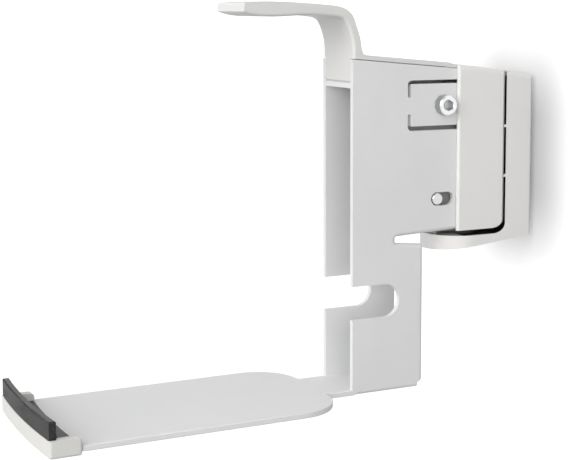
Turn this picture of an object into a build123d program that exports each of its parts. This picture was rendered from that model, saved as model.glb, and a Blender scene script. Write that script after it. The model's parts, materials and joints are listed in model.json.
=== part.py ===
from build123d import *
import math
import os

# Sizes in millimetres. Everything is drawn from the column's front (y = 0) and the
# shelf's top (z = 0), then moved so that the origin is the middle of the wall face.
shelf_drop = 123.0                       # middle of the wall face down to the shelf's top
swivel_y = 75.0                          # upright swivel axis behind the column's front
column_width = 35.0
shelf_width = 88.0
shelf_reach = 158.0                      # column front to the back of the front lip

# Covers
body_width = column_width + 5.0          # knuckle cover and wall housing
knuckle_radius = body_width / 2 + 6.9    # back of the cover, about the swivel pin
knuckle_round = 4.2                      # rounding below it
knuckle_gap = 1.5
projection = swivel_y + knuckle_radius + 12.6
cover_front = swivel_y - 11.0
cover_wall = 2.2
top_round = 2.8                          # long top edges of cover and housing
cover_top = shelf_drop + 51.4            # top of the cover at its front edge
body_fall = 0.127                        # fall of cover and housing towards the wall
arm_fall = 0.111                         # rise of the arm's underside towards the wall
arm_top = shelf_drop - 43.7
housing_foot = shelf_drop - 45.6         # underside at the wall
plate_thick = 4.0
wall_gap = 1.6                           # shadow gap between housing and wall
plate_width = body_width - 6.4
plate_height = 77.0
wall_hole_d = 5.2
wall_hole_x = 20.0
wall_hole_z = 60.0

# Swivel joint: upright pin in the arm
swivel_range = 20.0                      # degrees to each side
swivel_pin_d = 12.0
bush_d = swivel_pin_d + 3.0
pin_head_d = 20.0
block_foot = arm_top + 2.7
block_gap = 1.0                          # friction washer between block and side plate
stop_radius = 14.0
stop_d = 5.0

# Folded sheet: shelf, neck, base and two side plates
sheet = 3.0
column_depth = swivel_y - 31.2           # side plates below the relief slit
rear_round = 2.4                         # rolled rear edges below the slit
plate_top_front = cover_top + 3.4        # top of the side plates at the column's front
top_fall = 0.0917                        # fall of that edge towards the wall
plate_end_top = cover_front + 2.5        # hidden back edge of the plates, at the top
plate_end_foot = cover_front + 8.5       # and at the foot
plate_foot = block_foot - 0.5            # lower edge of the upper part of the plates
plate_foot_rise = 2.1                    # rise of that edge towards the wall
bend_radius = 0.5                        # inside the coined fold
fold_outer = 2.0                         # outside it
shoulder_share = 0.93                    # rounding of the shelf's shoulders, of its overhang
neck_length = 15.8
notch_foot = shelf_drop - 85.0
notch_height = 18.5
notch_depth = 28.6
slit_end = 26.2                          # closed end of the relief slit
slit_height = 3.3

# Tilt joint: clamp screw, spring tongues and guide pin
tilt_y = cover_front - 8.3
tilt_z = shelf_drop + 29.3
tilt_range = 6.5                         # degrees, the foot of the frame swings forward
guide_radius = 51.6
guide_angle = -93.5                      # degrees, pin seen from the clamp screw at rest
guide_pin_d = 6.6
guide_slot = guide_pin_d + 0.8
screw_d = 6.0
screw_head_d = 11.0
screw_head_h = 6.0
screw_socket = 5.5
tongue_front = tilt_y - 22.4
tongue_slot_width = 2.0
tongue_top = tilt_z + 13.7
tongue_foot = tilt_z - 13.6
tongue_neck = 9.0

# Hook and cap
cap_height = 2.9
cap_seam = 0.45                          # shadow gap between cap and side plates
hook_round = 1.6                         # inner edges of the hook
cap_end = cover_front + 0.2
hook_reach = 62.0                        # tip of the hook in front of the column
hook_height = plate_top_front + 30.2     # top of the hook above the shelf
bridge_z = plate_top_front - 15.2
bridge_thick = 2.6
bridge_depth = 32.0
hook_screw_x = 16.0
hook_screw_y = 14.0

# Front lip and rubber pad
lip_width = shelf_width + 2.0
lip_depth = 16.0
lip_bow = 2.0                            # how far the middle stands in front of the ends
lip_foot = -4.5
lip_top = 4.3
lip_bar = 3.6                            # front wall of the lip
lip_floor = 13.0                         # from the lip's front to the end of its floor
pad_top = 13.4
pad_set = 0.4                            # pad behind the lip's front
pad_wall = 3.5
pad_web = 1.8
pad_thick = 0.9
tongue_width = shelf_width - 8.0         # end of the shelf inside the lip
tongue_step = 0.5                        # coined down under the pad
lip_screw_x = 50.0

# Fits
seat = 0.05                              # still parts that touch
running = 0.05                           # radial play of turning fits
screw_play = 0.2                         # radial play of clearance holes

half = column_width / 2
inner = half - sheet
body_half = body_width / 2
wall_y = projection
housing_back = wall_y - wall_gap
shelf_front = 0.3 - shelf_reach
plan_box = 400.0


def outline(*corners):
    """Flat face through corners (a, b) or (a, b, corner radius)."""
    points = [Vector(c[0], c[1]) for c in corners]
    turns = []
    for i, corner in enumerate(corners):
        p = points[i]
        if len(corner) < 3:
            turns.append((p, p, p))
            continue
        u = (points[i - 1] - p).normalized()
        v = (points[(i + 1) % len(points)] - p).normalized()
        bisector = math.acos(u.dot(v)) / 2
        reach = corner[2] / math.tan(bisector)
        middle = p + (u + v).normalized() * (corner[2] / math.sin(bisector) - corner[2])
        turns.append((p + u * reach, middle, p + v * reach))
    edges = []
    for i, (start, middle, end) in enumerate(turns):
        if (end - start).length > 1e-6:
            edges.append(ThreePointArc(start, middle, end))
        following = turns[(i + 1) % len(turns)][0]
        if (following - end).length > 1e-6:
            edges.append(Line(end, following))
    return make_face(edges)


def across(face, x0, x1):
    """Side-view face (y, z) pulled from x0 to x1."""
    return Pos(x0, 0, 0) * extrude(Plane.YZ * face, x1 - x0)


def upright(face, z0, z1):
    """Plan face (x, y) pulled from z0 to z1."""
    return Pos(0, 0, z0) * extrude(face, z1 - z0)


def rod_x(d, x0, x1, y, z):
    return Pos((x0 + x1) / 2, y, z) * Rot(0, 90, 0) * Cylinder(d / 2, x1 - x0)


def rod_y(d, y0, y1, x, z):
    return Pos(x, (y0 + y1) / 2, z) * Rot(90, 0, 0) * Cylinder(d / 2, y1 - y0)


def rod_z(d, z0, z1, x, y):
    return Pos(x, y, (z0 + z1) / 2) * Cylinder(d / 2, z1 - z0)


def plate_top(y):
    return plate_top_front - top_fall * y


def body_top(y):
    return cover_top - body_fall * (y - cover_front)


def arm_foot(y):
    return housing_foot - arm_fall * (wall_y - y)


def both_sides(part):
    return part + mirror(part, Plane.YZ)


def round_topped():
    """Long prism under the sloping top of cover and housing, its long edges rounded."""
    start = cover_front - 40
    section = outline(
        (-body_half, 0),
        (body_half, 0),
        (body_half, body_top(start), top_round),
        (-body_half, body_top(start), top_round),
    )
    slope = math.atan(body_fall)
    length = (projection + 80) / math.cos(slope)
    prism = extrude(Plane.XZ * section, length, dir=(0, math.cos(slope), -math.sin(slope)))
    return Pos(0, start, 0) * prism


# Wall side
def knuckle_drum(radius, foot, rounding, top):
    """Round back of the knuckle about the swivel pin, rounded below."""
    drum = rod_z(2 * radius, foot, top, 0, swivel_y)
    return fillet(drum.edges().group_by(Axis.Z)[0], rounding)


def housing_screw_heights():
    return [shelf_drop - 18, shelf_drop + 18]


def housing_screw_seat():
    return swivel_y + knuckle_radius + knuckle_gap + 3


def wall_housing():
    side = outline(
        (swivel_y - body_half - 5, arm_foot(swivel_y - body_half - 5)),
        (housing_back, housing_foot, 2.5),
        (housing_back, body_top(housing_back), 3.5),
        (swivel_y - body_half - 5, body_top(swivel_y - body_half - 5)),
    )
    body = across(side, -body_half, body_half)
    plan = Pos(0, swivel_y) * Circle(body_half)
    plan += outline(
        (-body_half, swivel_y),
        (-body_half, housing_back, 2.0),
        (body_half, housing_back, 2.0),
        (body_half, swivel_y),
    )
    body &= upright(plan, 0, plan_box)
    body &= round_topped()
    room = knuckle_drum(knuckle_radius + knuckle_gap, arm_top, knuckle_round + knuckle_gap, plan_box)
    room += Pos(0, swivel_y - 50, arm_top + 100) * Box(plan_box, 100, 200)
    body -= room
    rub_height = knuckle_gap - 0.35
    rub_face = knuckle_radius + knuckle_gap - rub_height
    for z in (shelf_drop - 11.3, shelf_drop + 16.5):
        ring = Cylinder(rub_face + rub_height + 1, 1.5) - Cylinder(rub_face, 1.5)
        ring &= Pos(0, 25, 0) * Box(body_width, 50, 10)
        body += Pos(0, swivel_y, z) * ring & Pos(0, swivel_y + 16, z) * Box(body_width - 0.2, 26, 10)
    back_room = Box(plate_width + 2 * seat, 2 * plate_thick, plate_height + 2 * seat)
    body -= Pos(0, wall_y - seat, shelf_drop) * back_room
    for z in housing_screw_heights():
        body -= rod_y(4.4, swivel_y + 15, wall_y, 0, z)
        body -= rod_y(7.6, swivel_y + 15, housing_screw_seat(), 0, z)
    body -= rod_z(swivel_pin_d + 2 * seat, 0, arm_top + 1, 0, swivel_y)
    body -= rod_z(pin_head_d + 2 * seat, 0, pin_head_top(), 0, swivel_y)
    body -= rod_z(stop_d + 2 * seat, arm_top - 4, arm_top + 1, 0, swivel_y - stop_radius)
    return body


def pin_head_top():
    return arm_foot(swivel_y + pin_head_d / 2) + 2.2


def wall_plate():
    plate = Pos(0, wall_y - plate_thick / 2, shelf_drop) * Box(plate_width, plate_thick, plate_height)
    for x in (-wall_hole_x / 2, wall_hole_x / 2):
        for z in (-wall_hole_z / 2, wall_hole_z / 2):
            plate -= rod_y(wall_hole_d, wall_y - 10, wall_y + 1, x, shelf_drop + z)
            sink = Pos(x, wall_y - plate_thick + 1.2, shelf_drop + z) * Rot(-90, 0, 0)
            plate -= sink * Cone(wall_hole_d / 2 + 2.4, wall_hole_d / 2, 2.4)
    for z in housing_screw_heights():
        plate -= rod_y(4.0 + 2 * seat, wall_y - 10, wall_y + 1, 0, z)
    return plate


def machine_screw_y(y_head, y_end, x, z):
    """Flat-topped screw along y, its head towards the front."""
    screw = rod_y(4.0, y_head, y_end, x, z) + rod_y(7.0, y_head, y_head + 2.6, x, z)
    return screw - rod_y(2.6, y_head - 1, y_head + 1.4, x, z)


def housing_screws():
    head = housing_screw_seat() - 2.6
    return [machine_screw_y(head, wall_y - 0.4, 0, z) for z in housing_screw_heights()]


def swivel_pin():
    pin = rod_z(swivel_pin_d, pin_head_top() - 1, block_foot + 56, 0, swivel_y)
    pin += rod_z(pin_head_d, pin_head_top() - 2.0, pin_head_top(), 0, swivel_y)
    return chamfer(pin.edges().group_by(Axis.Z)[-1], 1.0)


def swivel_stop():
    stop = rod_z(stop_d, arm_top - 4, block_foot + 2.4, 0, swivel_y - stop_radius)
    return chamfer(stop.edges().group_by(Axis.Z)[-1], 0.5)


def arm_washer():
    ring = rod_z(2 * (stop_radius - stop_d / 2) - 1.2, arm_top, block_foot, 0, swivel_y)
    return ring - rod_z(swivel_pin_d + 2 * screw_play, 0, plan_box, 0, swivel_y)


def hex_nut(flats, height, hole):
    """Hexagon nut on z = 0, its corners turned down at both ends."""
    corner = flats / math.sqrt(3)
    turned = Pos(0, 0, height / 2) * Cylinder(corner, height)
    turned = chamfer(turned.edges().filter_by(GeomType.CIRCLE), 0.06 * flats)
    nut = extrude(RegularPolygon(corner, 6), height) & turned
    return nut - Cylinder(hole / 2, 3 * height)


def swivel_nut():
    return Pos(0, swivel_y, spring_top()) * hex_nut(17, 8, swivel_pin_d + 2 * seat)


# Swivelling part
def spring_foot():
    return block_foot + 40


def spring_top():
    return spring_foot() + 4


def cover_screw_heights():
    return [block_foot + 10, block_foot + 32]


def guide_pin_place():
    angle = math.radians(guide_angle)
    return tilt_y + guide_radius * math.cos(angle), tilt_z + guide_radius * math.sin(angle)


def swivel_block():
    pin_y, pin_z = guide_pin_place()
    front = pin_y - 7
    back = swivel_y + 15
    top = tilt_z + 8
    side = outline(
        (front, pin_z - 8, 4),
        (swivel_y - stop_radius - 8, block_foot, 2),
        (back, block_foot, 3),
        (back, spring_top() + 20, 6),
        (tilt_y + 11, spring_top() + 20, 3),
        (tilt_y + 9, top, 5),
        (front, top, 6),
    )
    wide = inner - block_gap
    block = across(side, -wide, wide)
    block -= rod_x(screw_d + 2 * screw_play, -50, 50, tilt_y, tilt_z)
    block -= rod_x(guide_pin_d + 2 * seat, -50, 50, pin_y, pin_z)
    block -= rod_z(bush_d + 2 * seat, 0, plan_box, 0, swivel_y)
    block -= rod_z(23, spring_foot(), plan_box, 0, swivel_y)
    arc = CenterArc((0, swivel_y), stop_radius, -90 - swivel_range - 0.4, 2 * swivel_range + 0.8)
    block -= upright(SlotArc(arc, stop_d + 0.6), block_foot - 1, block_foot + 4)
    for z in cover_screw_heights():
        block -= rod_y(4.0 + 2 * seat, swivel_y + 8.4, wall_y, 0, z)
    return block


def bush(z0, z1):
    sleeve = rod_z(bush_d, z0, z1, 0, swivel_y)
    return sleeve - rod_z(swivel_pin_d + 2 * running, 0, plan_box, 0, swivel_y)


def lower_bush():
    return bush(block_foot, block_foot + 16)


def upper_bush():
    return bush(spring_foot() - 14, spring_foot())


def disc_springs():
    rings = []
    for z in (spring_foot(), spring_foot() + 2):
        ring = rod_z(21, z, z + 2, 0, swivel_y)
        rings.append(ring - rod_z(swivel_pin_d + 2 * screw_play, 0, plan_box, 0, swivel_y))
    return rings


def knuckle_cover():
    far = swivel_y + knuckle_radius
    foot = block_foot + 0.6
    side = outline(
        (cover_front, foot),
        (far, foot),
        (far, body_top(far)),
        (cover_front, body_top(cover_front)),
    )
    shell = knuckle_drum(knuckle_radius, foot, knuckle_round, plan_box)
    shell &= Pos(0, swivel_y + 50, 0) * Box(body_width, 100, 2 * plan_box)
    front = outline(
        (-body_half, cover_front, 1.2),
        (body_half, cover_front, 1.2),
        (body_half, swivel_y),
        (-body_half, swivel_y),
    )
    shell += upright(front, foot, plan_box)
    shell &= across(side, -body_half, body_half)
    shell &= round_topped()
    inside = rod_z(2 * (knuckle_radius - cover_wall), 0, plan_box, 0, swivel_y)
    inside &= Pos(0, swivel_y + 50, 0) * Box(2 * (half + 0.5), 100, 2 * plan_box)
    inside += Pos(0, swivel_y - 20, 0) * Box(2 * (half + 0.5), 40, 2 * plan_box)
    lid = outline(
        (cover_front + 3.5, 0),
        (far + 5, 0),
        (far + 5, body_top(far + 5) - cover_wall),
        (cover_front + 3.5, body_top(cover_front + 3.5) - cover_wall),
    )
    open_front = Pos(0, cover_front + 3.5 - 20, plan_box / 2) * Box(2 * (half + 0.5), 40, plan_box)
    shell -= inside & across(lid, -body_half, body_half)
    shell -= open_front
    for z in cover_screw_heights():
        shell += rod_y(9, swivel_y + 15, far - 1.5, 0, z)
        shell -= rod_y(4.4, swivel_y, wall_y, 0, z)
        shell -= rod_y(7.6, far - 3.2, wall_y, 0, z)
    return shell


def cover_screws():
    head = swivel_y + knuckle_radius - 0.6
    screws = []
    for z in cover_screw_heights():
        screw = rod_y(4.0, swivel_y + 8.8, head, 0, z) + rod_y(7.0, head - 2.6, head, 0, z)
        screws.append(screw - rod_y(2.6, head - 1.4, head + 1, 0, z))
    return screws


def tilt_guide_pin():
    pin_y, pin_z = guide_pin_place()
    pin = rod_x(guide_pin_d, -half - 0.3, half + 0.3, pin_y, pin_z)
    return chamfer(pin.edges().group_by(Axis.X)[0] + pin.edges().group_by(Axis.X)[-1], 0.5)


def friction_washers():
    ring = rod_x(21, inner - block_gap, inner, tilt_y, tilt_z)
    ring -= rod_x(screw_d + 2 * screw_play, -50, 50, tilt_y, tilt_z)
    return [ring, mirror(ring, Plane.YZ)]


# Tilting frame
def shelf_outline():
    edge = shelf_width / 2
    shoulder = shoulder_share * (edge - half)
    neck = 0.06 * (edge - half)
    return outline(
        (-half, 2),
        (-half, -neck_length, neck),
        (-edge, -neck_length, shoulder),
        (-edge, shelf_front, 1.0),
        (edge, shelf_front, 1.0),
        (edge, -neck_length, shoulder),
        (half, -neck_length, neck),
        (half, 2),
    )


def fold_section():
    """Base with its two folds, seen from the front (x, z)."""
    rise = fold_outer + 6
    return outline(
        (-half, rise),
        (-half, -sheet, fold_outer),
        (half, -sheet, fold_outer),
        (half, rise),
        (inner, rise),
        (inner, 0, bend_radius),
        (-inner, 0, bend_radius),
        (-inner, rise),
    )


def side_plate_outline():
    slit_foot = plate_foot - slit_height
    return outline(
        (0, bend_radius + 3),
        (column_depth, bend_radius + 3),
        (column_depth, slit_foot - 1.8, 1.5),
        (slit_end, slit_foot, slit_height * 0.45),
        (slit_end, plate_foot, slit_height * 0.45),
        (plate_end_foot, plate_foot + plate_foot_rise, 2),
        (plate_end_top, plate_top(plate_end_top), 2),
        (0, plate_top(0), 0.8),
    )


def tongue_cut(edge, turn, width):
    """One half of the cut around a spring tongue: a long slot and a short leg."""
    leg = tilt_z + turn * tongue_neck / 2
    inside = edge - turn * width
    back = plate_end_foot + 10
    return outline(
        (tongue_front, leg, 0.6),
        (tongue_front + tongue_slot_width, leg, 0.6),
        (tongue_front + tongue_slot_width, inside, 0.5),
        (back, inside),
        (back, edge),
        (tongue_front, edge, 2.4),
    )


def side_plate():
    plate = across(side_plate_outline(), inner, half)
    notch_end = notch_height * 0.49
    notch = outline(
        (-5, notch_foot),
        (notch_depth, notch_foot, notch_end),
        (notch_depth, notch_foot + notch_height, notch_end),
        (-5, notch_foot + notch_height),
    )
    plate -= across(notch, 0, 50)
    plate -= across(tongue_cut(tongue_top, 1, 2.0), 0, 50)
    plate -= across(tongue_cut(tongue_foot, -1, 2.5), 0, 50)
    plate -= rod_x(screw_d + 2 * screw_play, 0, 50, tilt_y, tilt_z)
    arc = CenterArc((tilt_y, tilt_z), guide_radius, guide_angle - 0.5, tilt_range + 1.0)
    plate -= across(SlotArc(arc, guide_slot), 0, 50)
    return plate


def shelf_tongue():
    """End of the shelf inside the lip, coined down where the pad lies on it."""
    back = shelf_front + 3
    flush = upright(bowed(pad_back() + 0.1, back, tongue_width), -sheet, 0)
    end = lip_front() + lip_bar + 0.2
    coined = Box(tongue_width, back - end, sheet - tongue_step)
    return flush + Pos(0, (back + end) / 2, -(sheet + tongue_step) / 2) * coined


def lip_front():
    return -shelf_reach - lip_depth


def pad_back():
    return shelf_front - 0.4


def folded_frame():
    shelf = upright(shelf_outline(), -sheet, 0)
    rim = shelf.edges().group_by(Axis.Z)
    shelf = fillet(rim[0] + rim[-1], 0.5)
    shelf += shelf_tongue()
    base = Pos(0, column_depth, 0) * extrude(Plane.XZ * fold_section(), column_depth)
    relief = outline(
        (column_depth - 3.5, -10),
        (column_depth - 3.5, -0.6),
        (column_depth, 1.4),
        (column_depth + 10, 1.4),
        (column_depth + 10, -10),
    )
    base -= across(relief, -50, 50)
    frame = base + both_sides(side_plate()) + shelf
    upright_edges = frame.edges().filter_by(Axis.Z)
    rear = [e for e in upright_edges if e.center().Y > column_depth - 0.01 and e.center().Z < plate_foot - 5]
    frame = fillet([e for e in rear if abs(e.center().X) > half - 0.01], rear_round)
    for x in (-lip_screw_x / 2, lip_screw_x / 2):
        frame -= rod_z(4.0 + 2 * seat, -10, 5, x, lip_screw_y())
    return frame


def lip_screw_y():
    return lip_front() + lip_floor - 5


def top_bridge():
    bridge = Box(2 * inner, bridge_depth, bridge_thick)
    bridge = Pos(0, bridge_depth / 2, bridge_z + bridge_thick / 2) * bridge
    for x in (-hook_screw_x / 2, hook_screw_x / 2):
        bridge -= rod_z(4.4, bridge_z - 5, bridge_z + 10, x, hook_screw_y)
    return bridge


def hook_outline():
    """Hook and cap seen from the side (y, z)."""
    cap_y = 6.2
    top = hook_height
    outer = Spline(
        (cap_y, plate_top(cap_y) + cap_height + 0.6),
        (cap_y - 0.9, top - 25),
        (cap_y - 1.8, top - 19.7),
        (cap_y - 4.3, top - 12.2),
        (cap_y - 6.9, top - 6.6),
        (cap_y - 11, top - 3.6),
        (cap_y - 19.8, top - 1.8),
        (cap_y - 49, top - 0.1),
        (cap_y - 58.7, top),
        (4.5 - hook_reach, top - 0.35),
    )
    nose = Polyline(
        (4.5 - hook_reach, top - 0.35),
        (0.9 - hook_reach, top - 0.6),
        (0.2 - hook_reach, top - 1.4),
        (-hook_reach, top - 5.0),
        (0.6 - hook_reach, top - 5.6),
    )
    under = Spline(
        (0.6 - hook_reach, top - 5.6),
        (-28.4, top - 7.0),
        (-10.5, top - 7.9),
        (-5.2, top - 9.4),
        (-2.1, top - 14.5),
        (-0.3, top - 20.6),
        (0.2, top - 27.3),
        (0.2, plate_top(0.2) + cap_seam),
    )
    chamfer_y = cap_end - 5
    rest = Polyline(
        (0.2, plate_top(0.2) + cap_seam),
        (cap_end, plate_top(cap_end) + cap_seam),
        (cap_end, plate_top(cap_end) + cap_height - 1.1),
        (chamfer_y, plate_top(chamfer_y) + cap_height),
        (cap_y + 1.2, plate_top(cap_y + 1.2) + cap_height),
        (cap_y, plate_top(cap_y) + cap_height + 0.6),
    )
    return make_face([*outer.edges(), *nose.edges(), *under.edges(), *rest.edges()])


def top_hook():
    hook = across(hook_outline(), -half, half)
    curves = hook.edges().filter_by(GeomType.BSPLINE)
    hook = fillet(curves.sort_by(Axis.Z)[:2], hook_round)
    foot = bridge_z + bridge_thick
    plug = outline(
        (0.2, foot + 1.2),
        (1.4, foot),
        (bridge_depth - 14, foot),
        (bridge_depth - 14, foot + 4),
        (cap_end - 6, foot + 2.4),
        (cap_end - 6, plate_top(cap_end - 6) + 1),
        (0.2, plate_top(0.2) + 1),
    )
    hook += across(plug, -inner + seat, inner - seat)
    for x in (-hook_screw_x / 2, hook_screw_x / 2):
        hook -= rod_z(4.0 + 2 * seat, foot - 1, foot + 9, x, hook_screw_y)
    return hook


def machine_screw_up(z_head, z_end, x, y):
    """Pan-head screw pointing up, its head below."""
    screw = rod_z(4.0, z_head, z_end, x, y) + rod_z(7.2, z_head - 2.2, z_head, x, y)
    screw -= rod_z(2.8, z_head - 3, z_head - 1.0, x, y)
    return screw


def hook_screws():
    end = bridge_z + bridge_thick + 8.4
    places = (-hook_screw_x / 2, hook_screw_x / 2)
    return [machine_screw_up(bridge_z, end, x, hook_screw_y) for x in places]


def tilt_screw():
    end = -half - 1.6 - 5.0 - 1.2
    screw = rod_x(screw_d, end, half + 1, tilt_y, tilt_z)
    head = rod_x(screw_head_d, half, half + screw_head_h, tilt_y, tilt_z)
    head = chamfer(head.edges().group_by(Axis.X)[-1], 0.7)
    hexagon = RegularPolygon(screw_socket / math.sqrt(3), 6, rotation=30)
    socket = Plane.YZ * (Pos(tilt_y, tilt_z) * hexagon)
    head -= Pos(half + screw_head_h - 3.4, 0, 0) * extrude(socket, 5)
    mouth = Pos(half + screw_head_h - 0.25, tilt_y, tilt_z) * Rot(0, 90, 0)
    head -= mouth * Cone(screw_socket / 2, screw_socket / 2 + 0.75, 0.5)
    return screw + head


def tilt_washer():
    ring = rod_x(12, -half - 1.6, -half, tilt_y, tilt_z)
    return ring - rod_x(screw_d + 2 * screw_play, -50, 50, tilt_y, tilt_z)


def tilt_nut():
    return Pos(-half - 1.6, tilt_y, tilt_z) * Rot(0, -90, 0) * hex_nut(10, 5, screw_d + 2 * seat)


def bow_end(width):
    """How far a bowed bar of this width reaches in front of the lip's own ends, at its end."""
    radius = (lip_width**2 / 4 + lip_bow**2) / (2 * lip_bow)
    return math.sqrt(radius**2 - width**2 / 4) - (radius - lip_bow)


def bow_arc(y, width):
    """Bowed front line of the lip, moved to y at the lip's ends and cut to a width."""
    edge = width / 2
    end = y - bow_end(width)
    return (-edge, end), (0, y - lip_bow), (edge, end)


def bowed(y_front, y_back, width):
    """Plan of a bar across the shelf: its front bows forward, its back is straight."""
    left, middle, right = bow_arc(y_front, width)
    return make_face([
        *ThreePointArc(left, middle, right).edges(),
        *Polyline(right, (right[0], y_back), (left[0], y_back), left).edges(),
    ])


def bow_band(y_front, wall, width):
    """Plan of a wall that follows the bow."""
    left, middle, right = bow_arc(y_front, width)
    left_back, middle_back, right_back = bow_arc(y_front + wall, width)
    return make_face([
        *ThreePointArc(left, middle, right).edges(),
        *Line(right, right_back).edges(),
        *ThreePointArc(right_back, middle_back, left_back).edges(),
        *Line(left_back, left).edges(),
    ])


def front_lip():
    front = lip_front()
    back = -shelf_reach
    bar = upright(bowed(front, back, lip_width), lip_foot, lip_top + 10)
    bar = fillet(bar.edges().filter_by(Axis.Z), 1.5)
    bar = fillet(bar.edges().group_by(Axis.Z)[0], 1.3)
    side = outline(
        (front - 20, lip_foot),
        (back, lip_foot),
        (back, lip_top, 2.2),
        (front - 20, lip_top),
    )
    bar &= across(side, -lip_width, lip_width)
    room = tongue_width + 2 * seat
    bar -= upright(bowed(front + lip_bar, back + 20, room), -sheet - seat, plan_box)
    bar -= Pos(0, front + lip_floor + 50, 0) * Box(room, 100, 100)
    for x in (-lip_screw_x / 2, lip_screw_x / 2):
        bar -= rod_z(4.4, -20, 0, x, lip_screw_y())
    return bar


def lip_pad():
    front = lip_front() + pad_set
    wall = upright(bow_band(front, pad_wall, lip_width - 3.2), lip_top, pad_top)
    wall = fillet(wall.edges().group_by(Axis.Z)[-1], 0.8)
    bar_back = lip_front() + lip_bar + seat
    width = tongue_width - 2 * seat
    web = upright(bow_band(bar_back, pad_web, width), -tongue_step, lip_top + 1)
    flange = bow_band(bar_back, pad_back() - bar_back, width)
    return wall + web + upright(flange, -tongue_step, pad_thick - tongue_step)


def lip_screws():
    places = (-lip_screw_x / 2, lip_screw_x / 2)
    return [machine_screw_up(lip_foot, -tongue_step - 0.1, x, lip_screw_y()) for x in places]


nodes = [
    wall_housing, wall_plate, housing_screws, swivel_pin, swivel_stop, arm_washer, swivel_nut,
    swivel_block, lower_bush, upper_bush, disc_springs, knuckle_cover, cover_screws,
    tilt_guide_pin, friction_washers,
    folded_frame, top_bridge, top_hook, hook_screws, tilt_screw, tilt_washer, tilt_nut,
    front_lip, lip_pad, lip_screws,
]

os.makedirs("parts", exist_ok=True)
to_wall = Pos(0, -projection, -shelf_drop)
for make in nodes:
    made = make()
    pieces = made if isinstance(made, list) else [made]
    solids = [to_wall * solid for piece in pieces for solid in piece.solids()]
    shape = solids[0] if len(solids) == 1 else Compound(children=solids)
    export_step(shape, f"parts/{make.__name__}.step")
    print(make.__name__, len(solids), round(sum(s.volume for s in solids), 1))
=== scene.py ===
# %% [markdown]
# # A loudspeaker bracket on a white wall
# The bracket is a folded steel frame on a swivelling knuckle. Its solids come ready made, in metres,
# with the origin on the wall between the four screw holes, +Y into the wall and +Z up. This lesson
# gives every piece its finish, adds the small turned and threaded details, and sets light and camera.

# %% Load the solids
import bpy
import json
import math
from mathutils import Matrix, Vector


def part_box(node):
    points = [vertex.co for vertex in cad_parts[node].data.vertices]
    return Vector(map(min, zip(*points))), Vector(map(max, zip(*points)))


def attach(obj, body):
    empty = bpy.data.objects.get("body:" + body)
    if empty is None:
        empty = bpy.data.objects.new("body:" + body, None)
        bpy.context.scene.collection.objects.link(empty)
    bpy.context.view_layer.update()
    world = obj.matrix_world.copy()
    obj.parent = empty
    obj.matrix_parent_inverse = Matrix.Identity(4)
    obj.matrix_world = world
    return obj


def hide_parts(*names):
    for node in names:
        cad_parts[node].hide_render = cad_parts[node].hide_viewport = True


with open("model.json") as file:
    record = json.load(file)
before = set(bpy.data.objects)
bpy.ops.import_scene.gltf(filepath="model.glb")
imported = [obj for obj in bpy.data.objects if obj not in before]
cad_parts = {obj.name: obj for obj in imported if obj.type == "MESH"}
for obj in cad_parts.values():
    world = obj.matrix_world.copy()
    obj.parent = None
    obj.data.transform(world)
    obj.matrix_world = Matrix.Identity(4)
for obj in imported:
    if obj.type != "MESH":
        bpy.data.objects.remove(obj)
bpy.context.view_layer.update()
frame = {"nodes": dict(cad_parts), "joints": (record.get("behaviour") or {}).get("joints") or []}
nodes = frame["nodes"]

# %% [markdown]
# ## A short way to write shader maths
# A finish is a small network of nodes. Written out one node at a time it is hard to read, so one class
# stands for a wire between nodes and lets ordinary arithmetic make the Math nodes. A second class holds
# any node tree while it is being made: `add` makes a node from its settings and its inputs. A material is
# such a tree with a shader at its end, and has short names for the textures that the finishes share.

# %% Wires and finishes
class Wire:
    """An output socket that takes part in arithmetic."""

    def __init__(self, tree, socket):
        self.tree = tree
        self.socket = socket

    def maths(self, operation, *values):
        node = self.tree.nodes.new("ShaderNodeMath")
        node.operation = operation
        for slot, value in zip(node.inputs, values):
            plug(self.tree, slot, value)
        return Wire(self.tree, node.outputs[0])

    def __add__(self, other):
        return self.maths("ADD", self, other)

    def __radd__(self, other):
        return self.maths("ADD", other, self)

    def __sub__(self, other):
        return self.maths("SUBTRACT", self, other)

    def __rsub__(self, other):
        return self.maths("SUBTRACT", other, self)

    def __mul__(self, other):
        return self.maths("MULTIPLY", self, other)

    def __rmul__(self, other):
        return self.maths("MULTIPLY", other, self)


def plug(tree, slot, value):
    """Link a wire to a slot, or write a plain value into it."""
    if isinstance(value, Wire):
        tree.links.new(value.socket, slot)
    else:
        slot.default_value = value


class Network:
    """A node tree while it is being made."""

    def __init__(self, tree):
        self.tree = tree

    def add(self, kind, settings, inputs, output=0):
        node = self.tree.nodes.new(kind)
        for key, value in settings.items():
            setattr(node, key, value)
        for key, value in inputs.items():
            plug(self.tree, node.inputs[key], value)
        return Wire(self.tree, node.outputs[output])

    def axes(self, vector):
        """The three coordinates of a vector."""
        first = self.add("ShaderNodeSeparateXYZ", {}, {0: vector})
        return [Wire(self.tree, out) for out in first.socket.node.outputs]


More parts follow.
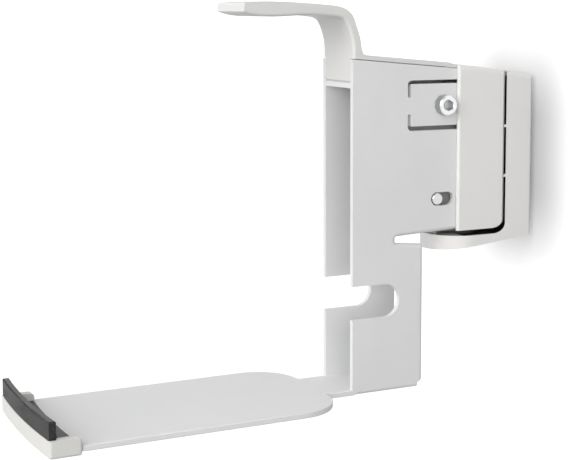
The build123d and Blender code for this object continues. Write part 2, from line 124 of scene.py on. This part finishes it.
class Finish(Network):
    """A material while its nodes are being made."""

    def __init__(self, name, **values):
        self.material = bpy.data.materials.new(name)
        self.material.use_nodes = True
        super().__init__(self.material.node_tree)
        self.shader = self.tree.nodes["Principled BSDF"]
        self.set(**values)
        self.place = self.add("ShaderNodeTexCoord", {}, {}, "Object")

    def set(self, **values):
        for key, value in values.items():
            plug(self.tree, self.shader.inputs[key.replace("_", " ")], value)

    def noise(self, scale, detail=2.0, rough=0.5, place=None):
        inputs = {"Vector": place or self.place, "Scale": scale, "Detail": detail, "Roughness": rough}
        return self.add("ShaderNodeTexNoise", {}, inputs, "Fac")

    def band(self, value, low, high, out_low=0.0, out_high=1.0):
        inputs = {"Value": value, 1: low, 2: high, 3: out_low, 4: out_high}
        return self.add("ShaderNodeMapRange", {"interpolation_type": "SMOOTHSTEP"}, inputs)

    def fade(self, value, low, high):
        """One below the low value and nought above the high one."""
        return self.band(value, low, high, 1.0, 0.0)

    def blend(self, share, first, second):
        inputs = {0: share, 6: first, 7: second}
        return self.add("ShaderNodeMix", {"data_type": "RGBA"}, inputs, 2)

    def bump(self, height, depth, strength=1.0, under=None):
        inputs = {"Height": height, "Distance": depth, "Strength": strength}
        if under:
            inputs["Normal"] = under
        return self.add("ShaderNodeBump", {}, inputs)

    def ring(self, y, z):
        """Distance from an axis that runs across the bracket, in metres."""
        _, along, rise = self.axes(self.place)
        away = (along - y) * (along - y) + (rise - z) * (rise - z)
        return away.maths("SQRT", away)


def dress(material, *names):
    """Put a finish on solids by name."""
    for name in names:
        slots = nodes[name].data.materials
        slots.clear()
        slots.append(material)
    print(material.name, "on", ", ".join(names))


print("wires ready")

# %% [markdown]
# ## Powder coat on the folded frame
# Powder melts into a skin with a fine orange peel, a hair's breadth deep and about a millimetre across.
# It is too fine for mesh, so it is bump. The tone drifts a little over the sheet, as it does where
# the coat is thicker, and a rubbed ring shows where the clamp screw's head has turned on the paint.

# %% Powder coat
tilt_axis = next(j for j in frame["joints"] if j["name"] == "tilt")["pos_m"]
ring_inner_edge = (0.0050, 0.0056)  # metres from the clamp screw's axis
ring_outer_edge = (0.0060, 0.0066)
peel_depth = 0.00005
powder_grain_depth = 0.00002


def powder_coat():
    thin_coat = (0.779, 0.781, 0.782, 1)
    thick_coat = (0.801, 0.803, 0.803, 1)
    grain_shade = (0.73, 0.735, 0.74, 1)
    rubbed_tone = (0.50, 0.50, 0.50, 1)
    f = Finish("powder_coat", Metallic=0.0, IOR=1.46)
    drift = f.noise(22.0, 3.0)
    peel = f.noise(820.0, 2.0)
    grain = f.noise(3800.0, 1.0)
    away = f.ring(tilt_axis[1], tilt_axis[2])
    rubbed = f.band(away, *ring_inner_edge) * f.fade(away, *ring_outer_edge)
    rubbed = rubbed * f.band(f.noise(900.0, 3.0), 0.40, 0.62)
    tone = f.blend(f.band(drift, 0.35, 0.65), thin_coat, thick_coat)
    tone = f.blend(f.band(grain, 0.55, 0.80, 0.0, 0.35), tone, grain_shade)
    f.set(Base_Color=f.blend(rubbed * 0.5, tone, rubbed_tone))
    f.set(Roughness=f.band(drift, 0.3, 0.7, 0.50, 0.58) + (grain - 0.5) * 0.10 - rubbed * 0.12)
    f.set(Normal=f.bump(grain, powder_grain_depth, 0.5, f.bump(peel, peel_depth, 0.8)))
    return f.material


dress(powder_coat(), "folded_frame", "top_bridge")

# %% [markdown]
# ## Warm white mouldings and the painted casting
# Cover, hook and lip are moulded in a mould with a spark-eroded skin, so they have a fine even grain
# and a warmer white than the frame. The wall housing is a casting with smoother paint: long shallow
# waves in place of the grain. One function makes all of them, with the grain's size as its input.
#
# The gap between housing and cover should look nearly black, but white faces would light each other up in
# there, so the housing's inner faces, which look at the knuckle, get painted shade: they are coloured near
# black.
# The painted shade starts just inside the housing's edges and can be seen when the knuckle is swivelled.

# %% Warm whites
gap_shade_sides = (0.0183, 0.0190)  # metres from the middle plane, inside the housing's sides
gap_shade_top = (0.0435, 0.0440)  # height, below the housing's top
gap_shade_front = (-0.0460, -0.0450)  # the arm's nose in front of this gets no painted shade
moulding_grain_depth = 0.00003
wave_depth = 0.00006


def gap_shade(f):
    """Painted shade for the gap: one on the housing's inner faces, which look at the knuckle, and nought
    elsewhere.
    """
    across, along, rise = f.axes(f.place)
    _, ahead, upward = f.axes(f.add("ShaderNodeTexCoord", {}, {}, "Normal"))
    facing = f.band(upward.maths("MAXIMUM", upward, -1 * ahead), 0.30, 0.50)
    inside = f.fade(across.maths("ABSOLUTE", across), *gap_shade_sides)
    return facing * inside * f.fade(rise, *gap_shade_top) * f.band(along, *gap_shade_front)


def warm_white(name, pale, deep, grain_scale, rough, gap_shaded=False):
    dust_and_top_light_tone = (0.50, 0.49, 0.47, 1)
    gap_shade_tone = (0.02, 0.02, 0.021, 1)
    f = Finish(name, Metallic=0.0, IOR=1.47)
    flow = f.noise(14.0, 3.0)
    grain = f.noise(grain_scale, 2.0, 0.6)
    waves = f.noise(90.0, 1.0)
    dust = f.band(f.noise(420.0, 4.0, 0.7), 0.60, 0.78)
    tone = f.blend(f.band(flow, 0.3, 0.7), deep, pale)
    tone = f.blend(dust * 0.10, tone, dust_and_top_light_tone)
    if gap_shaded:
        # painted shade: the housing's faces inside the gap are coloured near black
        tone = f.blend(gap_shade(f), tone, gap_shade_tone)
    f.set(Base_Color=tone)
    f.set(Roughness=rough + (flow - 0.5) * 0.10 + (grain - 0.5) * 0.12 + dust * 0.05)
    f.set(Normal=f.bump(grain, moulding_grain_depth, 0.6, f.bump(waves, wave_depth, 0.5)))
    return f.material


cover_pale = (0.854, 0.847, 0.831, 1)
cover_deep = (0.836, 0.829, 0.812, 1)
# The hook and the lip get darker copies of the same warm white: painted shade for the weaker light on them.
shaded_hook_pale = (0.748, 0.743, 0.726, 1)
shaded_hook_deep = (0.731, 0.726, 0.708, 1)
shaded_lip_pale = (0.715, 0.709, 0.682, 1)
shaded_lip_deep = (0.699, 0.693, 0.666, 1)
cast_pale = (0.855, 0.846, 0.829, 1)
cast_deep = (0.837, 0.828, 0.810, 1)
dress(warm_white("cover_moulding", cover_pale, cover_deep, 2300, 0.46), "knuckle_cover")
dress(warm_white("hook_moulding", shaded_hook_pale, shaded_hook_deep, 2300, 0.46), "top_hook")
dress(warm_white("lip_moulding", shaded_lip_pale, shaded_lip_deep, 2000, 0.44), "front_lip")
dress(warm_white("cast_paint", cast_pale, cast_deep, 700, 0.40, gap_shaded=True), "wall_housing")

# %% [markdown]
# ## Black rubber strip
# The strip keeps the loudspeaker from sliding. Rubber looks grey where light grazes it, because its skin
# is finely pitted, and pale bloom comes out of it. Both are noise: a tight one for the pits and
# a loose, streaky one for the bloom. The faces that look up are painted paler: painted light from above,
# patchy with the bloom.

# %% Rubber
pit_depth = 0.00006


def black_rubber():
    black = (0.009, 0.009, 0.010, 1)
    bloom_tone = (0.030, 0.029, 0.027, 1)
    speck_tone = (0.085, 0.082, 0.078, 1)
    dust_and_top_light_tone = (0.170, 0.166, 0.160, 1)
    f = Finish("black_rubber", Metallic=0.0, IOR=1.33)
    pits = f.noise(2600.0, 2.0, 0.65)
    stretch = f.add("ShaderNodeMapping", {}, {"Vector": f.place, "Scale": (1.0, 1.0, 3.0)})
    bloom = f.band(f.noise(60.0, 5.0, 0.65, stretch), 0.42, 0.75)
    speck = f.band(f.noise(1300.0, 3.0, 0.7), 0.44, 0.66)
    upward = f.axes(f.add("ShaderNodeTexCoord", {}, {}, "Normal"))[2]
    # painted light: the faces that look up are paler, patchy with the bloom
    top_light = f.band(upward, 0.6, 0.95) * (0.35 + bloom * 0.4)
    tone = f.blend(bloom * 0.6, black, bloom_tone)
    tone = f.blend(speck * 0.4, tone, speck_tone)
    f.set(Base_Color=f.blend(top_light, tone, dust_and_top_light_tone))
    f.set(Roughness=0.48 + bloom * 0.16 + (pits - 0.5) * 0.18)
    f.set(Normal=f.bump(pits, pit_depth, 0.7))
    return f.material


dress(black_rubber(), "lip_pad")

# %% [markdown]
# ## Plated and bare metals
# The clamp screw and the guide pin are bright plated: a mirror dulled by fine turning lines, which run
# in circles round the clamp screw's axis. Their end faces are shinier and carry a painted highlight, while
# their sides and the socket carry a painted shade and look darker, so the finish changes with the distance
# from the middle.
# Zinc on the small screws is milkier and cloudy. Hidden pins and bushes get the plain finish that such
# parts have, because the bracket can be taken apart, and the cast block is a dark grey.

# %% Metals
face_step = 0.0003  # metres over which the painted shade of the sides gives way to the painted highlight of the end face
turning_depth = 0.00001
cloud_depth = 0.00002


def bright_plating(name, side, face, face_x):
    f = Finish(name, Metallic=1.0)
    rings = f.ring(tilt_axis[1], tilt_axis[2])
    turned = f.add("ShaderNodeTexNoise", {"noise_dimensions": "1D"},
                   {"W": rings, "Scale": 5200.0, "Detail": 2.0}, "Fac")
    cloud = f.noise(500.0, 3.0)
    # painted shade on the sides and in the socket, painted highlight on the end face
    out = f.band(f.axes(f.place)[0], face_x - face_step, face_x)
    side_tone = f.blend(cloud, [v * 0.88 for v in side] + [1], [*side, 1])
    face_tone = f.blend(cloud, [v * 0.94 for v in face] + [1], [*face, 1])
    f.set(Base_Color=f.blend(out, side_tone, face_tone))
    f.set(Roughness=0.24 - out * 0.08 + turned * 0.08 + cloud * 0.06)
    f.set(Normal=f.bump(turned, turning_depth, 0.4))
    return f.material


def cloudy_metal(name, pale, deep, rough, scale):
    f = Finish(name, Metallic=1.0)
    cloud = f.noise(scale, 4.0, 0.6)
    fine = f.noise(scale * 9, 2.0)
    f.set(Base_Color=f.blend(f.band(cloud, 0.35, 0.65), deep, pale))
    f.set(Roughness=rough + (cloud - 0.5) * 0.2 + (fine - 0.5) * 0.12)
    f.set(Normal=f.bump(fine, cloud_depth, 0.5))
    return f.material


shaded_side_grey = (0.46, 0.465, 0.475)
nut_grey = (0.60, 0.605, 0.615)
highlight_grey = (0.76, 0.76, 0.76)
pin_highlight_grey = (0.62, 0.62, 0.62)
screw_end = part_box("tilt_screw")[1][0]
pin_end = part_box("tilt_guide_pin")[1][0]
screw_rim = screw_end - 0.0006
pin_rim = pin_end - 0.0004
dress(bright_plating("clamp_plating", shaded_side_grey, highlight_grey, screw_rim), "tilt_screw")
dress(bright_plating("pin_plating", shaded_side_grey, pin_highlight_grey, pin_rim), "tilt_guide_pin")
dress(bright_plating("nut_plating", nut_grey, highlight_grey, screw_end), "tilt_washer", "tilt_nut")
zinc = cloudy_metal("zinc_plating", (0.72, 0.73, 0.74, 1), (0.58, 0.60, 0.61, 1), 0.34, 260.0)
steel = cloudy_metal("ground_steel", (0.62, 0.62, 0.63, 1), (0.52, 0.52, 0.53, 1), 0.28, 340.0)
brass = cloudy_metal("plain_brass", (0.78, 0.60, 0.30, 1), (0.66, 0.48, 0.22, 1), 0.32, 300.0)
dress(zinc, "housing_screws", "cover_screws", "swivel_nut", "wall_plate")
dress(steel, "swivel_pin", "swivel_stop", "disc_springs")
dress(brass, "lower_bush", "upper_bush")
fibre_depth = 0.00005


def dark_skin(name, pale, deep, rough, scale):
    f = Finish(name, Metallic=0.0, IOR=1.42)
    fibre = f.noise(scale, 4.0, 0.7)
    f.set(Base_Color=f.blend(fibre, deep, pale))
    f.set(Roughness=rough + (fibre - 0.5) * 0.2)
    f.set(Normal=f.bump(fibre, fibre_depth, 0.6))
    return f.material


friction = dark_skin("friction_disc", (0.11, 0.108, 0.105, 1), (0.05, 0.05, 0.054, 1), 0.75, 1500.0)
casting = dark_skin("dark_casting", (0.270, 0.270, 0.276, 1), (0.205, 0.205, 0.211, 1), 0.55, 700.0)
dress(friction, "friction_washers", "arm_washer")
dress(casting, "swivel_block")

# %% [markdown]
# ## Screws with pan heads and threads
# Four screws point up: two through the lip's floor into the shelf's end, and two through the bridge into
# the hook. They could be modelled one by one, but they are the same screw in two lengths, so one
# Geometry Nodes tree makes them: it presses a ball into a pan head, cuts the cross into it, winds
# a thread round the shank, and sets a screw on every point, each turned as far as the driver left it.

# %% Screw tree
def screw_sockets(group):
    sockets = group.interface
    sockets.new_socket("Places", in_out="INPUT", socket_type="NodeSocketGeometry")
    for size in ("Head Radius", "Head Height", "Shank Radius", "Shank Length", "Pitch"):
        sockets.new_socket(size, in_out="INPUT", socket_type="NodeSocketFloat")
    sockets.new_socket("Finish", in_out="INPUT", socket_type="NodeSocketMaterial")
    sockets.new_socket("Screws", in_out="OUTPUT", socket_type="NodeSocketGeometry")


def screw_tree():
    group = bpy.data.node_groups.new("pan_head_screw", "GeometryNodeTree")
    screw_sockets(group)
    t = Network(group)
    given = group.nodes.new("NodeGroupInput")
    size = {out.name: Wire(group, out) for out in given.outputs}
    parts = [pan_head(t, size), *threaded_shank(t, size)]
    screw = t.add("GeometryNodeJoinGeometry", {}, {})
    for part in parts:
        group.links.new(part.socket, screw.socket.node.inputs[0])
    turn = t.add("FunctionNodeRandomValue", {"data_type": "FLOAT_VECTOR"},
                 {"Min": (0, 0, 0), "Max": (0, 0, math.pi), "Seed": 4})
    screws = t.add("GeometryNodeInstanceOnPoints", {},
                   {"Points": size["Places"], "Instance": screw, "Rotation": turn})
    screws = t.add("GeometryNodeRealizeInstances", {}, {0: screws})
    screws = t.add("GeometryNodeSetMaterial", {}, {"Geometry": screws, "Material": size["Finish"]})
    out = group.nodes.new("NodeGroupOutput")
    group.links.new(screws.socket, out.inputs[0])
    return group


def pressed_ball(t, size):
    """A ball pressed flat above and into a pan below."""
    ball = t.add("GeometryNodeMeshUVSphere", {}, {"Segments": 48, "Rings": 24, "Radius": 1.0}, "Mesh")
    x, y, z = t.axes(t.add("GeometryNodeInputPosition", {}, {}))
    away = x * x + y * y
    widen = away.maths("POWER", away.maths("MAXIMUM", away, 1e-6), -0.26) * size["Head Radius"]
    sunk = -1 * z
    drop = sunk.maths("POWER", sunk.maths("MAXIMUM", sunk, 0.0), 0.62) * size["Head Height"]
    pressed = t.add("ShaderNodeCombineXYZ", {}, {0: x * widen, 1: y * widen, 2: -1 * drop})
    head = t.add("GeometryNodeSetPosition", {}, {"Geometry": ball, "Position": pressed})
    return t.add("GeometryNodeSetShadeSmooth", {}, {"Geometry": head, "Shade Smooth": True})


def cross_bars(t, size):
    """Two bars across the head, in the shape of the driver's tip."""
    radius = size["Head Radius"]
    height = size["Head Height"]
    bars = []
    for quarter in (0.0, math.pi / 2):
        length = t.add("ShaderNodeCombineXYZ", {}, {0: radius * 1.15, 1: radius * 0.27, 2: height * 1.3})
        bar = t.add("GeometryNodeMeshCube", {}, {"Size": length}, "Mesh")
        foot = t.add("ShaderNodeCombineXYZ", {}, {2: height * -1.0})
        bars.append(t.add("GeometryNodeTransform", {},
                          {"Geometry": bar, "Translation": foot, "Rotation": (0, 0, quarter)}))
    return bars


def pan_head(t, size):
    """The pressed ball with the cross cut into it. The cut's edges stay sharp."""
    head = pressed_ball(t, size)
    bars = cross_bars(t, size)
    cut = t.add("GeometryNodeMeshBoolean", {"operation": "DIFFERENCE"}, {"Mesh 1": head}, "Mesh")
    for bar in bars:
        t.tree.links.new(bar.socket, cut.socket.node.inputs["Mesh 2"])
    bend = t.add("GeometryNodeInputMeshEdgeAngle", {}, {}, "Unsigned Angle")
    sharp = t.add("FunctionNodeCompare", {"operation": "GREATER_THAN"}, {0: bend, 1: 0.7})
    return t.add("GeometryNodeSetShadeSmooth", {"domain": "EDGE"},
                 {"Geometry": cut, "Selection": sharp, "Shade Smooth": False})


def threaded_shank(t, size):
    """A tapered core and the ridge that winds round it."""
    ridge = size["Pitch"] * 0.34
    core = size["Shank Radius"] * 0.84
    shank = t.add("GeometryNodeMeshCone", {},
                  {"Vertices": 24, "Radius Top": core * 0.9, "Radius Bottom": core,
                   "Depth": size["Shank Length"]}, "Mesh")
    winding = size["Shank Length"] - size["Pitch"]
    turns = winding.maths("DIVIDE", winding, size["Pitch"])
    path_radius = size["Shank Radius"] - ridge
    path = t.add("GeometryNodeCurveSpiral", {},
                 {"Resolution": 22, "Rotations": turns, "Start Radius": path_radius,
                  "End Radius": path_radius, "Height": winding})
    wedge = t.add("GeometryNodeCurvePrimitiveCircle", {}, {"Resolution": 3, "Radius": ridge})
    thread = t.add("GeometryNodeCurveToMesh", {},
                   {"Curve": path, "Profile Curve": wedge, "Fill Caps": True})
    return shank, thread


pan_head_screw = screw_tree()
print(len(pan_head_screw.nodes), "nodes make a screw")

# %% [markdown]
# The tree's places, head radius and shank length come from the plain solids that the screws stand for, so
# they follow when the solids change. Head height, shank radius and pitch are set here.

# %% Set the screws
screw_head_height = 0.0022
screw_shank_radius = 0.0020
screw_pitch = 0.0012


def screw_mesh(node):
    """The mesh of one pair of screws, made by the tree from the box of a node."""
    low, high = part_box(node)
    radius = (high[1] - low[1]) / 2
    middle_y = (low[1] + high[1]) / 2
    seat = low[2] + screw_head_height
    places = [(low[0] + radius, middle_y, seat), (high[0] - radius, middle_y, seat)]
    sizes = {"Head Radius": radius, "Head Height": screw_head_height, "Shank Radius": screw_shank_radius,
             "Shank Length": high[2] - seat, "Pitch": screw_pitch, "Finish": zinc}
    dots = bpy.data.meshes.new(node + "_places")
    dots.from_pydata(places, [], [])
    source = bpy.data.objects.new(node + "_source", dots)
    bpy.context.scene.collection.objects.link(source)
    modifier = source.modifiers.new("screws", "NODES")
    modifier.node_group = pan_head_screw
    for socket in pan_head_screw.interface.items_tree:
        if socket.name in sizes:
            modifier[socket.identifier] = sizes[socket.name]
    shown = source.evaluated_get(bpy.context.evaluated_depsgraph_get())
    mesh = bpy.data.meshes.new_from_object(shown)
    bpy.data.objects.remove(source)
    return mesh


def set_screws(node, body):
    piece = bpy.data.objects.new(node + "_turned", screw_mesh(node))
    bpy.context.scene.collection.objects.link(piece)
    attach(piece, body)
    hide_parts(node)
    print(piece.name, len(piece.data.polygons), "faces")


set_screws("lip_screws", "frame")
set_screws("hook_screws", "frame")

# %% [markdown]
# ## Wall
# The bracket hangs on a white wall, so the stage is that wall and a floor well below it. The wall glows
# to the camera and to shiny or clear surfaces, so that it reads as pure white. That glow drowns the shadow
# which the lamps cast, so the soft shadow beside the housing is painted: the glow is weaker there, by
# smooth steps measured from the housing's box and matched to the photo's tones. It stays where it is
# when the joints move, which is right for the housing, because that is fixed to the wall.

# %% Stage
wall_y = 0.0004  # a hair behind the wall plate, so that the two faces don't flicker
wall_top = 3
floor_z = -0.75
stage_reach = 4
wall_glow = 0.90
shadow_depth = 0.64


def painted_shadow(f):
    """One beside the housing, falling to nought over a few centimetres, mostly to the right."""
    across, _, height = f.axes(f.place)
    low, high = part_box("wall_housing")
    begin = f.band(across, low[0] - 0.045, low[0] + 0.010)
    end = f.fade(across, high[0], high[0] + 0.050)
    level = f.fade(height.maths("ABSOLUTE", height), high[2] - 0.030, high[2] + 0.040)
    return begin * end * level


def stage_paint():
    f = Finish("stage_white", Base_Color=(0.30, 0.30, 0.30, 1), Roughness=0.9)
    ray = f.add("ShaderNodeLightPath", {}, {}, "Is Camera Ray")
    glossy = Wire(f.tree, ray.socket.node.outputs["Is Glossy Ray"])
    through = Wire(f.tree, ray.socket.node.outputs["Is Transmission Ray"])
    shown = ray.maths("MAXIMUM", ray, glossy.maths("MAXIMUM", glossy, through))
    f.set(Emission_Color=(1, 1, 1, 1))
    f.set(Emission_Strength=shown * (wall_glow - painted_shadow(f) * shadow_depth))
    behind = f.add("ShaderNodeNewGeometry", {}, {}, "Backfacing")
    clear = f.add("ShaderNodeBsdfTransparent", {}, {})
    front = Wire(f.tree, f.shader.outputs[0])
    surface = f.add("ShaderNodeMixShader", {}, {0: behind, 1: front, 2: clear})
    f.tree.links.new(surface.socket, f.tree.nodes["Material Output"].inputs[0])
    return f.material


def stage_sheet(name, corners, material):
    mesh = bpy.data.meshes.new(name)
    mesh.from_pydata(corners, [], [range(len(corners))])
    mesh.materials.append(material)
    sheet = bpy.data.objects.new(name, mesh)
    bpy.context.scene.collection.objects.link(sheet)


white = stage_paint()
back_left = (-stage_reach, wall_y, floor_z)
back_right = (stage_reach, wall_y, floor_z)
top_right = (stage_reach, wall_y, wall_top)
top_left = (-stage_reach, wall_y, wall_top)
front_left = (-stage_reach, -stage_reach, floor_z)
front_right = (stage_reach, -stage_reach, floor_z)
stage_sheet("wall", [back_left, back_right, top_right, top_left], white)
stage_sheet("floor", [front_left, front_right, back_right, back_left], white)
print("wall and floor set")

# %% [markdown]
# ## Light
# Two soft boxes and a white world light the bracket. The box on the right lights the faces that the camera
# sees most of, and the one in front and above lights the lip and the plates' edges. Their places and powers
# were found by comparing the tones of the faces with the photo, one face at a time.

# %% Light
def softbox(name, place, target, size, power):
    lamp = bpy.data.lights.new(name, "AREA")
    lamp.shape = "RECTANGLE"
    lamp.size, lamp.size_y = size
    lamp.energy = power
    box = bpy.data.objects.new(name, lamp)
    box.location = place
    box.rotation_euler = (Vector(target) - Vector(place)).to_track_quat("-Z", "Y").to_euler()
    bpy.context.scene.collection.objects.link(box)


middle = (0, -0.12, -0.02)
softbox("side_box", place=(1.6, -0.4, 0.1), target=middle, size=(1.4, 1.2), power=7.0)
softbox("front_box", place=(0.30, -1.00, 0.38), target=middle, size=(0.8, 0.8), power=5.4)
sky_level = 0.94
sky_fall = 0.18
card_aim = Vector((-0.25, -0.75, -0.60)).normalized()
card_depth = 0.70
camera_lift = 0.30


def studio_world():
    """White light all round, a little weaker from above.

    Shiny metal also sees a dark card low on the left, and the camera sees plain white.
    """
    world = bpy.data.worlds.new("studio")
    bpy.context.scene.world = world
    world.use_nodes = True
    t = Network(world.node_tree)
    sky = t.tree.nodes["Background"]
    aim = t.add("ShaderNodeTexCoord", {}, {}, "Generated")
    card = t.add("ShaderNodeVectorMath", {"operation": "DOT_PRODUCT"},
                 {0: aim, 1: card_aim}, "Value")
    edge = t.add("ShaderNodeMapRange", {}, {"Value": card, 1: 0.70, 2: 0.87})
    glossy = t.add("ShaderNodeLightPath", {}, {}, "Is Glossy Ray")
    camera_ray = Wire(t.tree, glossy.socket.node.outputs["Is Camera Ray"])
    light = sky_level - t.axes(aim)[2] * sky_fall - edge * glossy * card_depth
    plug(t.tree, sky.inputs["Strength"], light + camera_ray * camera_lift)
    sky.inputs["Color"].default_value = (1, 1, 1, 1)


studio_world()
bpy.context.scene.view_settings.view_transform = "Standard"
print("two soft boxes and a white world set")

# %% [markdown]
# ## Camera
# The camera stands to the front right, a little above the bracket, with a long lens. Its place was fitted
# to the straight edges in the photo. A downward shift lets it tip less, which keeps the upright edges
# close to upright, as in a product picture.

# %% Camera
picture_width = 569  # pixels
focal_pixels = 1395.59
sensor_width = 36.0
heading = 62.98436  # degrees
tip = 6.57478
lens = bpy.data.cameras.new("camera")
lens.sensor_width = sensor_width
lens.lens = focal_pixels / picture_width * sensor_width
lens.shift_x = -0.0796
lens.shift_y = -0.11
camera = bpy.data.objects.new("camera", lens)
camera.location = (0.66489, -0.45833, 0.0824)
camera.rotation_euler = (math.radians(90 - tip), 0, math.radians(heading))
bpy.context.scene.collection.objects.link(camera)
bpy.context.scene.camera = camera
print("lens", round(lens.lens, 1), "mm")
